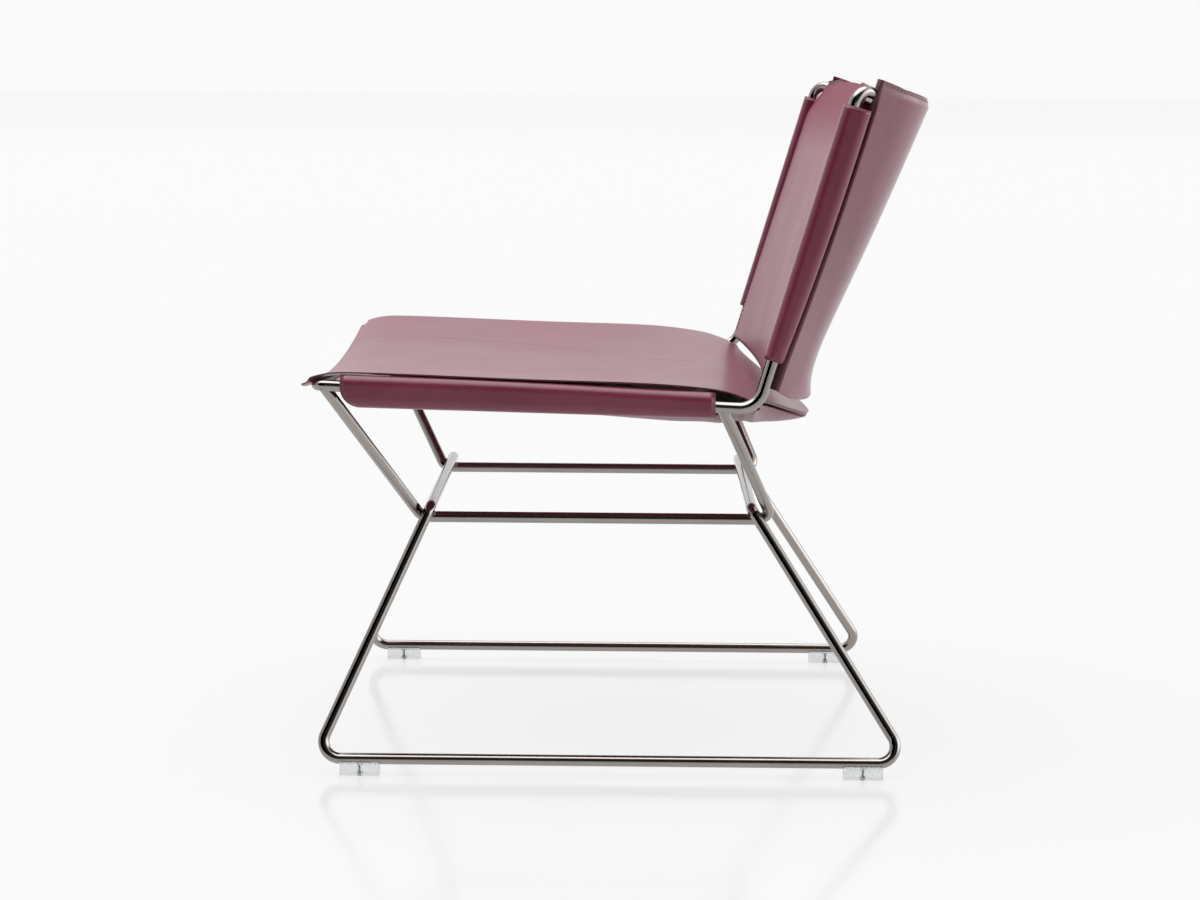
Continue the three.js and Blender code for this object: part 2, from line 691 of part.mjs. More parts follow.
function traySection(along, step) {
  const front = new THREE.Vector2(wingX(wingFront(along)), wingFront(along));
  const corner = new THREE.Vector2(wingX(trayTopDepth), trayDepth(along));
  const wing = corner.clone().sub(front).normalize();
  const turn = Math.acos(-wing.x);
  const trim = trayFoldR * Math.tan(turn / 2);
  const foldStart = corner.clone().addScaledVector(wing, -trim);
  if (step < WING_COLUMNS) {
    return front.lerp(foldStart, step / WING_COLUMNS);
  }
  if (step < WING_COLUMNS + FOLD_COLUMNS) {
    const angle = (turn * (step - WING_COLUMNS)) / FOLD_COLUMNS;
    const inward = new THREE.Vector2(-wing.y, wing.x);
    foldStart.addScaledVector(wing, trayFoldR * Math.sin(angle));
    return foldStart.addScaledVector(inward, trayFoldR * (1 - Math.cos(angle)));
  }
  const share = ((step - WING_COLUMNS - FOLD_COLUMNS) * 2) / REAR_COLUMNS;
  return new THREE.Vector2((corner.x - trim) * (1 - share), corner.y);
}

function traySurface(u, v) {
  const side = u < 0.5 ? 1 : -1;
  const step = Math.min(u, 1 - u) * TRAY_COLUMNS;
  const wing = Math.max(0, 1 - step / WING_COLUMNS);
  const rise = (1 + spread(v)) / 2;
  const along = THREE.MathUtils.lerp(TRAY_BOTTOM, TRAY_TOP, rise) + WING_RISE * rise * wing;
  const place = traySection(along, step);
  return backPlace(side * place.x, along, place.y);
}

function buildBackRear() {
  addPiece('back_rear_panel', sheetGeometry(traySurface, TRAY_COLUMNS, TRAY_ROWS), HIDE);
}

for (const [name, side] of Object.entries(SIDES)) {
  buildSled(name, side);
  buildStrut(name, side);
  addPiece(`${name}_side_rod`, sideRod(side, ROD_R), STEEL);
  for (const [endName, end] of Object.entries(ENDS)) {
    buildGlide(`${endName}_${name}`, side, end);
    buildScrew(`${endName}_${name}`, side, end);
  }
  buildSeatSleeve(name, side);
  buildBackSleeve(name, side);
}
buildWaistBar('front');
buildWaistBar('rear');
buildFrontBar();
buildBow();
buildSeatTop();
buildSeatUnder();
buildBackFront();
buildBackRear();

// The origin is on the floor below the middle of the whole chair
const extent = new THREE.Box3().setFromObject(chair);
const middle = extent.getCenter(new THREE.Vector3());
chair.position.set(-middle.x, -middle.y, -extent.min.z);
chair.updateMatrixWorld(true);

export default chair;
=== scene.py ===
"""Looks of the sling lounge chair: smooth rods, saddle leather with cut edges and stitching, clear glides.

Metres, +Z up. The chair faces -Y and the sitter's left side is +X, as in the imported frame.
"""
import math

import bpy
import numpy as np
from mathutils import Matrix, Vector


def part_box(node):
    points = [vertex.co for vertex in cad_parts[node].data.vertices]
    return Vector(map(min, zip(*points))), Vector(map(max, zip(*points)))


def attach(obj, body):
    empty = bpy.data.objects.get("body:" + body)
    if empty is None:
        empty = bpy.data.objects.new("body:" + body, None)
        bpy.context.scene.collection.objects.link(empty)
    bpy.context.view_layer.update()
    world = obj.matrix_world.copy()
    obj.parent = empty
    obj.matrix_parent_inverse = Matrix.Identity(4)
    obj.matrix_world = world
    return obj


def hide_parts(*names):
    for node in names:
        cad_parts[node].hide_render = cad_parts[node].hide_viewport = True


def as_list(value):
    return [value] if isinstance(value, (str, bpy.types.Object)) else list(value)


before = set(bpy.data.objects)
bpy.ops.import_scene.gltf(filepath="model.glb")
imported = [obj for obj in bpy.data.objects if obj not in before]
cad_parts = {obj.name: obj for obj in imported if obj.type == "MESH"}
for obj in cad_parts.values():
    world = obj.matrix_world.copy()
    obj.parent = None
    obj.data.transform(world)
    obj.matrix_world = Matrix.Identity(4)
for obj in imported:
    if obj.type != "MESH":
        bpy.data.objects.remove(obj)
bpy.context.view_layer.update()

scene = bpy.context.scene
scene.view_settings.view_transform = "Standard"

MM = 0.001

# Sizes shared with the solids, in millimetres
ROD_R = 6.0
LEATHER = 3.0
SEAM_GAP = 0.3
WELD_GAP = 0.3
SLEEVE_CLEAR = 1.0
SLEEVE_R = ROD_R + SLEEVE_CLEAR + LEATHER
GLIDE_HEIGHT = 11.0
BASE_WIDTH, BASE_LENGTH = 550.0, 626.0
FLOOR_BEND_R, WAIST_BEND_R = 18.0, 12.0
WAIST_WIDTH, WAIST_FRONT, WAIST_REAR, WAIST_STUB = 374.5, 196.5, 148.4, 40.0
STRETCHER_SPACING, STRETCHER_HEIGHT = 353.5, 259.3
STRETCHER_FRONT, STRETCHER_REAR = 206.5, 171.0
STRUT_BEND_R = 14.0
STRUT_TOP_FRONT, STRUT_TOP_REAR = 297.3, 110.9
RAIL_X = 304.0
RAIL_FRONT_HEIGHT, RAIL_REAR_HEIGHT, RAIL_REAR = 416.9, 395.2, 147.4
FRONT_BAR, FRONT_BEND_R, FRONT_STUB, FRONT_DIP = 304.0, 10.0, 30.0, 17.0
LEAN = math.radians(16.53)
UPRIGHT_LENGTH, UPRIGHT_BEND_R = 340.0, 26.0
BOW_DEPTH, BOW_INSET, BOW_DROP = 72.5, 57.0, 4.8
BOW_BEND_R, BOW_CORNER_R, BOW_STUB = 15.0, 80.0, 24.0
RUNNER_HEIGHT = GLIDE_HEIGHT + ROD_R
WAIST_HEIGHT = STRETCHER_HEIGHT + 2 * ROD_R + WELD_GAP
RAIL_SLOPE = (RAIL_REAR_HEIGHT - RAIL_FRONT_HEIGHT) / (RAIL_REAR + FRONT_BAR)

# The frame's origin lies under the middle of the whole chair, a little off the middle between the glides
SHIFT_Y = (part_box("front_left_glide")[0].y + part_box("rear_left_glide")[1].y) / 2 / MM


def place(x, y, z):
    """A point of the frame in metres, from millimetres measured from the middle of the sled."""
    return Vector((x * MM, (y + SHIFT_Y) * MM, z * MM))


def lerp(a, b, t):
    return a + (b - a) * t


def smooth(low, high, value):
    t = min(1.0, max(0.0, (value - low) / (high - low)))
    return t * t * (3 - 2 * t)


def rail_height(y):
    return RAIL_FRONT_HEIGHT + RAIL_SLOPE * (y + FRONT_BAR)


def back_place(x, along, behind):
    y = RAIL_REAR + along * math.sin(LEAN) + behind * math.cos(LEAN)
    z = RAIL_REAR_HEIGHT + along * math.cos(LEAN) - behind * math.sin(LEAN)
    return Vector((x, y, z))


# Camera at the photograph's viewing angle
CAM_PLACE = (2976.11, 16.02, 743.53)
CAM_PITCH, CAM_YAW, CAM_ROLL = (math.radians(a) for a in (-8.3363, -0.6354, 0.3871))
CAM_FOCAL_PX, IMAGE_WIDTH, SENSOR = 2637.76, 1200.0, 36.0


def add_camera():
    data = bpy.data.cameras.new("camera")
    camera = bpy.data.objects.new("camera", data)
    scene.collection.objects.link(camera)
    forward = Vector((
        -math.cos(CAM_PITCH) * math.cos(CAM_YAW),
        math.cos(CAM_PITCH) * math.sin(CAM_YAW),
        math.sin(CAM_PITCH),
    ))
    level = forward.cross(Vector((0, 0, 1))).normalized()
    upward = level.cross(forward)
    right = level * math.cos(CAM_ROLL) + upward * math.sin(CAM_ROLL)
    up = upward * math.cos(CAM_ROLL) - level * math.sin(CAM_ROLL)
    turn = Matrix((right, up, -forward)).transposed().to_4x4()
    camera.matrix_world = Matrix.Translation(place(*CAM_PLACE)) @ turn
    data.sensor_fit = "HORIZONTAL"
    data.sensor_width = SENSOR
    data.lens = SENSOR * CAM_FOCAL_PX / IMAGE_WIDTH
    data.clip_end = 100
    scene.camera = camera


add_camera()


# Node helpers for materials
class Nodes:
    """A material's node tree, with a Principled shader to start from."""

    def __init__(self, name):
        self.material = bpy.data.materials.new(name)
        self.material.use_nodes = True
        self.tree = self.material.node_tree
        self.shader = self.tree.nodes["Principled BSDF"]
        self.output = self.tree.nodes["Material Output"]

    def add(self, kind, inputs=None, **settings):
        node = self.tree.nodes.new(kind)
        for key, value in settings.items():
            setattr(node, key, value)
        for key, value in (inputs or {}).items():
            self.put(node.inputs[key], value)
        return node

    def put(self, socket, value):
        if isinstance(value, bpy.types.NodeSocket):
            self.tree.links.new(value, socket)
        else:
            socket.default_value = value

    def set(self, **values):
        for key, value in values.items():
            self.put(self.shader.inputs[key.replace("_", " ")], value)

    def ramp(self, factor, *stops):
        node = self.add("ShaderNodeValToRGB", {"Fac": factor})
        for spare in list(node.color_ramp.elements)[1:]:
            node.color_ramp.elements.remove(spare)
        for i, (at, color) in enumerate(stops):
            element = node.color_ramp.elements[0] if i == 0 else node.color_ramp.elements.new(at)
            element.position = at
            element.color = (*color, 1) if len(color) == 3 else color
        return node.outputs["Color"]

    def math(self, operation, a, b=0.0):
        node = self.add("ShaderNodeMath", operation=operation)
        self.put(node.inputs[0], a)
        self.put(node.inputs[1], b)
        return node.outputs[0]

    def mix(self, factor, a, b, blend="MIX"):
        node = self.add("ShaderNodeMix", data_type="RGBA", blend_type=blend)
        self.put(node.inputs["Factor"], factor)
        self.put(node.inputs[6], a if isinstance(a, bpy.types.NodeSocket) else (*a, 1))
        self.put(node.inputs[7], b if isinstance(b, bpy.types.NodeSocket) else (*b, 1))
        return node.outputs[2]

    def noise(self, vector, scale, detail=3.0, roughness=0.5):
        return self.add("ShaderNodeTexNoise", {
            "Vector": vector, "Scale": scale, "Detail": detail, "Roughness": roughness,
        }).outputs["Fac"]

    def position(self):
        return self.add("ShaderNodeTexCoord").outputs["Object"]

    def between(self, value, low, high, interpolation="SMOOTHSTEP"):
        """0 where the value is at low, 1 where it is at high."""
        return self.add("ShaderNodeMapRange", {
            "Value": value, "From Min": low, "From Max": high,
        }, interpolation_type=interpolation).outputs["Result"]


# Burgundy saddle leather: fine pebbled grain and slow tone changes
HIDE_DARK = (0.128, 0.0160, 0.039)
HIDE_MAIN = (0.150, 0.0190, 0.046)
HIDE_PALE = (0.170, 0.0235, 0.054)
# Painted shade for the top of the back panel: darker and redder than the main hide
HIDE_PAINTED_SHADE = (0.185, 0.0100, 0.040)
TOP_BAND_ROUGH, EDGE_ROUGH = (0.70, 0.70, 0.70), (0.5, 0.5, 0.5)
# Dark dye of the cut edges; the same colour is painted shade in the seat's crease and on the tray's
# turned-in hem
EDGE_DYE_AND_PAINTED_SHADE = (0.075, 0.0160, 0.0250)
# The flesh side's own paler colour, lifted further as painted light because its faces lie in shade
FLESH_AND_PAINTED_LIGHT = (0.290, 0.0520, 0.0800)
THREAD = (0.205, 0.0420, 0.082)

# A faint line pressed into the seat, in metres: on the right side in front, bending to the middle behind
CREASE_X, CREASE_FRONT, CREASE_LENGTH, CREASE_HALF = -0.165, -0.284, 0.356, 0.0050
CREASE_POWER = 3.0
CREASE_FADE = (0.125, 0.085)
# How deep the line is pressed, and how strongly it is painted darker as shade in the crease
CREASE_DEPTH, CREASE_PAINTED_SHADE = 0.0007, 0.75


def crease_mark(n, spot):
    """1 on the pressed line and 0 off it."""
    part = n.add("ShaderNodeSeparateXYZ", {"Vector": spot}).outputs
    share = n.math("DIVIDE", n.math("SUBTRACT", part["Y"], CREASE_FRONT), CREASE_LENGTH)
    bend = n.math("POWER", n.math("MAXIMUM", share, 0.0), CREASE_POWER)
    middle = n.math("MULTIPLY", n.math("SUBTRACT", 1.0, bend), CREASE_X)
    away = n.math("ABSOLUTE", n.math("SUBTRACT", part["X"], middle))
    near = n.between(away, CREASE_HALF, 0.0)
    return n.math("MULTIPLY", near, n.between(part["Y"], *CREASE_FADE, "LINEAR"))


def leather_material(name, gloss, coat, painted_light_scale=1.0, rough=0.38, painted_shade_heights=None, creased=False):
    """A hide whose tones a scale lightens as painted light, with gloss as its specular level.

    Given two heights, the hide between them is painted darker and redder as painted shade, and made
    rougher."""
    n = Nodes(name)
    spot = n.position()
    cloud = n.noise(spot, 7.0, 4.0, 0.55)
    fine = n.noise(spot, 90.0, 3.0, 0.6)
    # The hide's tones are scaled up here for some pieces: painted light.
    tint = n.ramp(
        cloud,
        (0.30, tuple(c * painted_light_scale for c in HIDE_DARK)),
        (0.52, tuple(c * painted_light_scale for c in HIDE_MAIN)),
        (0.74, tuple(c * painted_light_scale for c in HIDE_PALE)),
    )
    speck = n.ramp(fine, (0.30, (0.90, 0.90, 0.90)), (0.70, (1.06, 1.06, 1.06)))
    base = n.mix(1.0, tint, speck, "MULTIPLY")
    edge = n.add("ShaderNodeAttribute", attribute_name="edge").outputs["Fac"]
    flesh = n.add("ShaderNodeAttribute", attribute_name="flesh").outputs["Fac"]
    rough_map = n.ramp(cloud, (0.25, (rough - 0.05,) * 3), (0.75, (rough + 0.06,) * 3))
    # Painted shade: between the two heights the hide is painted darker and redder; it is also made rougher.
    if painted_shade_heights:
        height = n.add("ShaderNodeSeparateXYZ", {"Vector": spot}).outputs["Z"]
        wear_and_painted_shade = n.between(height, *painted_shade_heights)
        base = n.mix(wear_and_painted_shade, base, HIDE_PAINTED_SHADE)
        rough_map = n.mix(wear_and_painted_shade, rough_map, TOP_BAND_ROUGH)
    normal = {}
    if creased:
        crease = crease_mark(n, spot)
        # The pressed line is also painted darker: painted shade in the crease.
        base = n.mix(n.math("MULTIPLY", crease, CREASE_PAINTED_SHADE), base, EDGE_DYE_AND_PAINTED_SHADE)
        pressed = n.add("ShaderNodeBump", {"Height": crease, "Distance": CREASE_DEPTH}, invert=True)
        normal = {"Normal": pressed.outputs["Normal"]}
    # The flesh side takes its own paler colour, lifted as painted light for faces that lie in shade.
    base = n.mix(flesh, base, FLESH_AND_PAINTED_LIGHT)
    # The edge mark brings the dark cut-edge dye, and on the tray's turned-in hem painted shade.
    base = n.mix(edge, base, EDGE_DYE_AND_PAINTED_SHADE)
    n.set(Base_Color=base)
    pebble = n.add("ShaderNodeTexVoronoi", {"Vector": spot, "Scale": 900.0}, feature="SMOOTH_F1")
    grain = n.math("ADD", pebble.outputs["Distance"], n.math("MULTIPLY", n.noise(spot, 1500.0, 2.0), 0.5))
    n.set(Roughness=n.mix(edge, rough_map, EDGE_ROUGH))
    bump = n.add("ShaderNodeBump", {"Height": grain, "Strength": 0.22, "Distance": 0.00025, **normal})
    soft = n.add("ShaderNodeBump", {
        "Height": cloud, "Strength": 0.25, "Distance": 0.004, "Normal": bump.outputs["Normal"],
    })
    n.set(Normal=soft.outputs["Normal"])
    n.set(Specular_IOR_Level=gloss, Coat_Weight=coat, Coat_Roughness=0.28)
    n.set(Sheen_Weight=0.06, Sheen_Roughness=0.5, Sheen_Tint=(1.0, 0.55, 0.64, 1))
    return n.material


def thread_material():
    n = Nodes("thread")
    spot = n.position()
    twist = n.add("ShaderNodeTexWave", {"Vector": spot, "Scale": 900.0, "Distortion": 1.5})
    # The twist's grooves are painted darker: painted shade between the plies, beside the bump.
    n.set(Base_Color=n.ramp(
        twist.outputs["Fac"], (0.2, tuple(c * 0.6 for c in THREAD)), (0.8, THREAD),
    ))
    n.set(Roughness=n.ramp(n.noise(spot, 600.0), (0.3, (0.55,) * 3), (0.7, (0.75,) * 3)))
    bump = n.add("ShaderNodeBump", {"Height": twist.outputs["Fac"], "Strength": 0.5, "Distance": 0.0002})
    n.set(Normal=bump.outputs["Normal"])
    return n.material


# Dark nickel plate: a warm grey mirror with faint drawing lines and handling haze
def steel_material():
    n = Nodes("rod_nickel")
    spot = n.position()
    haze = n.noise(spot, 14.0, 4.0, 0.6)
    streak = n.noise(spot, 420.0, 2.0)
    n.set(Base_Color=n.ramp(haze, (0.3, (0.300, 0.278, 0.262)), (0.7, (0.345, 0.322, 0.304))))
    n.set(Roughness=n.ramp(
        n.math("ADD", n.math("MULTIPLY", haze, 0.7), n.math("MULTIPLY", streak, 0.3)),
        (0.3, (0.10,) * 3), (0.7, (0.19,) * 3),
    ))
    bump = n.add("ShaderNodeBump", {"Height": streak, "Strength": 0.04, "Distance": 0.0002})
    n.set(Normal=bump.outputs["Normal"])
    n.set(Metallic=1.0)
    return n.material


def screw_material():
    n = Nodes("screw_zinc")
    spot = n.position()
    haze = n.noise(spot, 300.0, 3.0)
    n.set(Base_Color=n.ramp(haze, (0.3, (0.10, 0.10, 0.105)), (0.7, (0.17, 0.17, 0.175))))
    n.set(Roughness=n.ramp(haze, (0.3, (0.28,) * 3), (0.7, (0.42,) * 3)))
    n.set(Metallic=1.0)
    return n.material


def glide_material():
    n = Nodes("glide_clear")
    spot = n.position()
    scuff = n.noise(spot, 260.0, 4.0, 0.6)
    n.set(Roughness=n.ramp(scuff, (0.35, (0.12,) * 3), (0.75, (0.30,) * 3)))
    n.set(Base_Color=n.ramp(scuff, (0.3, (0.86, 0.88, 0.89)), (0.7, (0.90, 0.92, 0.93))))
    bump = n.add("ShaderNodeBump", {"Height": scuff, "Strength": 0.08, "Distance": 0.0003})
    n.set(Normal=bump.outputs["Normal"])
    n.set(Transmission_Weight=0.85, IOR=1.49)
    return n.material


# The third numbers lighten the one hide as painted light: seat top 1.15, sleeves 1.10, back 1.35.
LEATHER_TOP = leather_material("hide_seat", 0.50, 0.25, 1.15, creased=True)
LEATHER_UNDER = leather_material("hide_under", 0.28, 0.10)
LEATHER_SLEEVE = leather_material("hide_sleeve", 0.30, 0.50, 1.10, 0.34)
# Near its top the back's hide is painted darker and redder: painted shade.
LEATHER_BACK = leather_material("hide_back", 0.45, 0.05, 1.35, painted_shade_heights=(0.640, 0.712))
LEATHER_TRAY = leather_material("hide_tray", 0.50, 0.90)
THREAD_MATERIAL = thread_material()
STEEL = steel_material()
SCREW = screw_material()
GLIDE = glide_material()


def add_mesh(name, points, faces, material, nodes=()):
    """A new piece from points in metres, riding on the chair and standing for its solids.

    Its four-sided faces are shaded smooth and the end faces of rods flat."""
    mesh = bpy.data.meshes.new(name)
    mesh.from_pydata([tuple(p) for p in points], [], faces)
    mesh.validate()
    piece = bpy.data.objects.new(name, mesh)
    scene.collection.objects.link(piece)
    mesh.materials.append(material)
    for polygon in mesh.polygons:
        polygon.use_smooth = len(polygon.vertices) == 4
    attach(piece, "root")
    if nodes:
        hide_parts(*nodes)
    return piece


# Rods: a fine round tube along each bent centre line
def rounded_path(corners, radii, step=math.radians(5)):
    """The corners of a bent rod with each bend rounded, as points close enough to look smooth."""
    corners = [Vector(c) for c in corners]
    points = [corners[0]]
    for before, corner, after, radius in zip(corners, corners[1:], corners[2:], radii):
        into = (corner - before).normalized()
        out = (after - corner).normalized()
        turn = into.angle(out)
        start = corner - into * radius * math.tan(turn / 2)
        inward = (out - into * math.cos(turn)).normalized()
        count = max(2, math.ceil(turn / step))
        for k in range(count + 1):
            angle = turn * k / count
            points.append(start + into * radius * math.sin(angle) + inward * radius * (1 - math.cos(angle)))
    points.append(corners[-1])
    return points


ROD_SIDES, END_RING = 28, 0.2


def tube(points, radius, sides):
    """Rings along a path, carried without twist, with closed ends.

    A ring beside each end keeps the end face's shading off the rod's side."""
    first, last = points[0], points[-1]
    beside_first = first + (points[1] - first).normalized() * END_RING
    beside_last = last + (points[-2] - last).normalized() * END_RING
    points = [first, beside_first, *points[1:-1], beside_last, last]
    rings, faces = [], []
    tangents = []
    for i in range(len(points)):
        low, high = points[max(0, i - 1)], points[min(len(points) - 1, i + 1)]
        a = (points[i] - low).normalized() if i else (high - points[i]).normalized()
        b = (high - points[i]).normalized() if i < len(points) - 1 else a
        tangents.append((a + b).normalized())
    normal = tangents[0].orthogonal().normalized()
    for i, (point, tangent) in enumerate(zip(points, tangents)):
        if i:
            normal = (tangents[i - 1].rotation_difference(tangent) @ normal).normalized()
        side = tangent.cross(normal)
        for k in range(sides):
            angle = 2 * math.pi * k / sides
            rings.append(point + (normal * math.cos(angle) + side * math.sin(angle)) * radius)
    for i in range(len(points) - 1):
        for k in range(sides):
            m = (k + 1) % sides
            faces.append((i * sides + k, i * sides + m, (i + 1) * sides + m, (i + 1) * sides + k))
    faces.append(tuple(reversed(range(sides))))
    base = (len(points) - 1) * sides
    faces.append(tuple(base + k for k in range(sides)))
    return rings, faces


def add_rod(name, corners, radii):
    points = rounded_path(corners, radii) if radii else [Vector(c) for c in corners]
    rings, faces = tube(points, ROD_R, ROD_SIDES)
    add_mesh("rod_" + name, [place(*p) for p in rings], faces, STEEL, [name])


def dip_at(x):
    return FRONT_DIP * max(0.0, 1 - (x / RAIL_X) ** 2)


def front_place(x):
    return Vector((x, -FRONT_BAR, rail_height(-FRONT_BAR) - dip_at(x)))


def bow_place(side, behind):
    """A place on the bow's arms, which draw in and drop slightly towards the rear."""
    share = behind / BOW_DEPTH
    return back_place(side * (RAIL_X - BOW_INSET * share), UPRIGHT_LENGTH - BOW_DROP * share, behind)


def side_corners(side):
    x = side * RAIL_X
    return [
        front_place(side * (RAIL_X - FRONT_STUB)),
        front_place(x),
        Vector((x, RAIL_REAR, RAIL_REAR_HEIGHT)),
        back_place(x, UPRIGHT_LENGTH, 0),
        bow_place(side, BOW_STUB),
    ]


FRONT_BAR_STEPS = 48


def add_rods():
    waist_y = (-WAIST_FRONT, WAIST_REAR)
    for name, side in (("left", 1), ("right", -1)):
        foot = side * BASE_WIDTH / 2
        waist = side * WAIST_WIDTH / 2
        stub = side * (WAIST_WIDTH / 2 - WAIST_STUB)
        add_rod(name + "_sled_rod", [
            (stub, waist_y[0], WAIST_HEIGHT), (waist, waist_y[0], WAIST_HEIGHT),
            (foot, -BASE_LENGTH / 2, RUNNER_HEIGHT), (foot, BASE_LENGTH / 2, RUNNER_HEIGHT),
            (waist, waist_y[1], WAIST_HEIGHT), (stub, waist_y[1], WAIST_HEIGHT),
        ], [WAIST_BEND_R, FLOOR_BEND_R, FLOOR_BEND_R, WAIST_BEND_R])
        x = side * STRETCHER_SPACING / 2
        rail = side * RAIL_X
        add_rod(name + "_strut_rod", [
            (rail, -STRUT_TOP_FRONT, rail_height(-STRUT_TOP_FRONT)),
            (x, -STRETCHER_FRONT, STRETCHER_HEIGHT), (x, STRETCHER_REAR, STRETCHER_HEIGHT),
            (rail, STRUT_TOP_REAR, rail_height(STRUT_TOP_REAR)),
        ], [STRUT_BEND_R, STRUT_BEND_R])
        add_rod(name + "_side_rod", side_corners(side), [FRONT_BEND_R, UPRIGHT_BEND_R, BOW_BEND_R])
    reach = WAIST_WIDTH / 2 - WAIST_STUB
    for name, y in zip(("front_waist_bar", "rear_waist_bar"), waist_y):
        add_rod(name, [(-reach, y, WAIST_HEIGHT), (reach, y, WAIST_HEIGHT)], [])
    span = RAIL_X - FRONT_STUB
    shares = [i / FRONT_BAR_STEPS for i in range(FRONT_BAR_STEPS + 1)]
    add_rod("seat_front_bar", [front_place(lerp(-span, span, share)) for share in shares], [])
    add_rod("back_top_bow", [
        bow_place(-1, BOW_STUB), bow_place(-1, BOW_DEPTH),
        bow_place(1, BOW_DEPTH), bow_place(1, BOW_STUB),
    ], [BOW_CORNER_R, BOW_CORNER_R])


add_rods()


# Leather sheets: a grid of points on the outer face, an inner face behind it, and a rounded rim between
RIM_STEPS, RIM_BULGE = 4, 0.8
HEM_DYE = 0.6


def grid_normals(grid, looped):
    if looped:
        across = np.roll(grid, -1, 1) - np.roll(grid, 1, 1)
    else:
        across = np.gradient(grid, axis=1)
    along = np.gradient(grid, axis=0)
    normal = np.cross(across, along)
    return normal / np.linalg.norm(normal, axis=2, keepdims=True)


def rim_rings(count_v, count_u, looped):
    """The grid places round a sheet's rim: one ring, or one at each end of a sleeve."""
    first = [(0, c) for c in range(count_u)]
    if looped:
        return [first[::-1], [(count_v - 1, c) for c in range(count_u)]]
    ring = first + [(r, count_u - 1) for r in range(1, count_v)]
    ring += [(count_v - 1, c) for c in range(count_u - 2, -1, -1)]
    ring += [(r, 0) for r in range(count_v - 2, 0, -1)]
    return [ring[::-1]]


def sheet_mesh(surface, columns, rows, looped=False, skive=None, hem_rows=0, hem_columns=0):
    """Points, faces and per-point marks of a leather sheet. Marks: on the rim, and on the flesh side.

    skive gives the sheet's thickness as a share of full at a place across it. hem_rows at its top are dyed
    towards the rim's colour; the hem columns at its sides take that colour in full, as painted shade."""
    us = [k / columns for k in range(columns if looped else columns + 1)]
    vs = [k / rows for k in range(rows + 1)]
    thickness = LEATHER * np.array([skive(u) if skive else 1.0 for u in us])[:, None]
    grid = np.array([[surface(u, v) for u in us] for v in vs], float)
    normal = grid_normals(grid, looped)
    points, edge, flesh = [], [], []
    count_v, count_u = len(vs), len(us)
    outer = np.arange(count_v * count_u).reshape(count_v, count_u)
    inner = outer + count_v * count_u
    points.extend(grid.reshape(-1, 3))
    dye_and_painted_shade = np.zeros((count_v, count_u))
    dye_and_painted_shade[count_v - hem_rows:] = HEM_DYE
    # The side hem columns take the rim's dark colour in full: painted shade on the turned-in hem.
    dye_and_painted_shade[:, :hem_columns] = dye_and_painted_shade[:, count_u - hem_columns:] = 1.0
    edge.extend(dye_and_painted_shade.reshape(-1))
    flesh.extend([0.0] * count_v * count_u)
    points.extend((grid - normal * thickness).reshape(-1, 3))
    edge.extend([0.0] * count_v * count_u)
    flesh.extend([1.0] * count_v * count_u)
    faces = []
    wrap = count_u if looped else count_u - 1
    for r in range(count_v - 1):
        for c in range(wrap):
            d = (c + 1) % count_u
            faces.append((outer[r, c], outer[r, d], outer[r + 1, d], outer[r + 1, c]))
            faces.append((inner[r, c], inner[r + 1, c], inner[r + 1, d], inner[r, d]))
    # Rim: a rounded strip whose middle stands out by a share of half the thickness
    for ring in rim_rings(count_v, count_u, looped):
        chains = []
        for i, (r, c) in enumerate(ring):
            run = grid[ring[(i + 1) % len(ring)]] - grid[ring[i - 1]]
            out = np.cross(normal[r, c], run)
            out /= max(1e-9, np.linalg.norm(out))
            half = float(thickness[c, 0]) / 2
            centre = grid[r, c] - normal[r, c] * half
            chain = [outer[r, c]]
            for k in range(1, RIM_STEPS):
                angle = math.pi * k / RIM_STEPS
                chain.append(len(points))
                raised = centre + normal[r, c] * half * math.cos(angle)
                points.append(raised - out * half * RIM_BULGE * math.sin(angle))
                edge.append(1.0)
                flesh.append(0.0)
            chains.append(chain + [inner[r, c]])
        for i, chain in enumerate(chains):
            after = chains[(i + 1) % len(chains)]
            for k in range(RIM_STEPS):
                faces.append((chain[k], after[k], after[k + 1], chain[k + 1]))
    faces = [tuple(int(x) for x in f) for f in faces]
    return [place(*p) for p in points], faces, edge, flesh


STITCH_PITCH, STITCH_LENGTH, THREAD_R, THREAD_SIDES = 5.5, 4.0, 0.45, 6
# A stitch's arc, as shares of its length and rises in thread radii
STITCH_ARC = [(0.0, -1.0), (0.25, 0.6), (0.75, 0.6), (1.0, -1.0)]
SEAM_SAMPLES, SURFACE_PROBE = 401, 0.001


def stitch_row(surface, start, end):
    """Raised stitches along a straight line between two places of a sheet, as points and faces."""
    shares = np.linspace(0, 1, SEAM_SAMPLES)
    spots = np.array([surface(lerp(start[0], end[0], t), lerp(start[1], end[1], t)) for t in shares])
    run = np.concatenate([[0.0], np.cumsum(np.linalg.norm(np.diff(spots, axis=0), axis=1))])
    points, faces = [], []

    def spot_at(length, rise):
        t = float(np.interp(length, run, shares))
        u, v = lerp(start[0], end[0], t), lerp(start[1], end[1], t)
        here = np.array(surface(u, v))
        across = np.array(surface(u + SURFACE_PROBE, v)) - here
        along = np.array(surface(u, v + SURFACE_PROBE)) - here
        normal = np.cross(across, along)
        return Vector(here + normal / np.linalg.norm(normal) * rise)

    for k in range(int(run[-1] / STITCH_PITCH)):
        low = k * STITCH_PITCH
        path = [spot_at(low + share * STITCH_LENGTH, rise * THREAD_R) for share, rise in STITCH_ARC]
        rings, sides = tube(path, THREAD_R, THREAD_SIDES)
        base = len(points)
        points.extend(place(*ring) for ring in rings)
        faces.extend(tuple(base + corner for corner in face) for face in sides)
    return points, faces


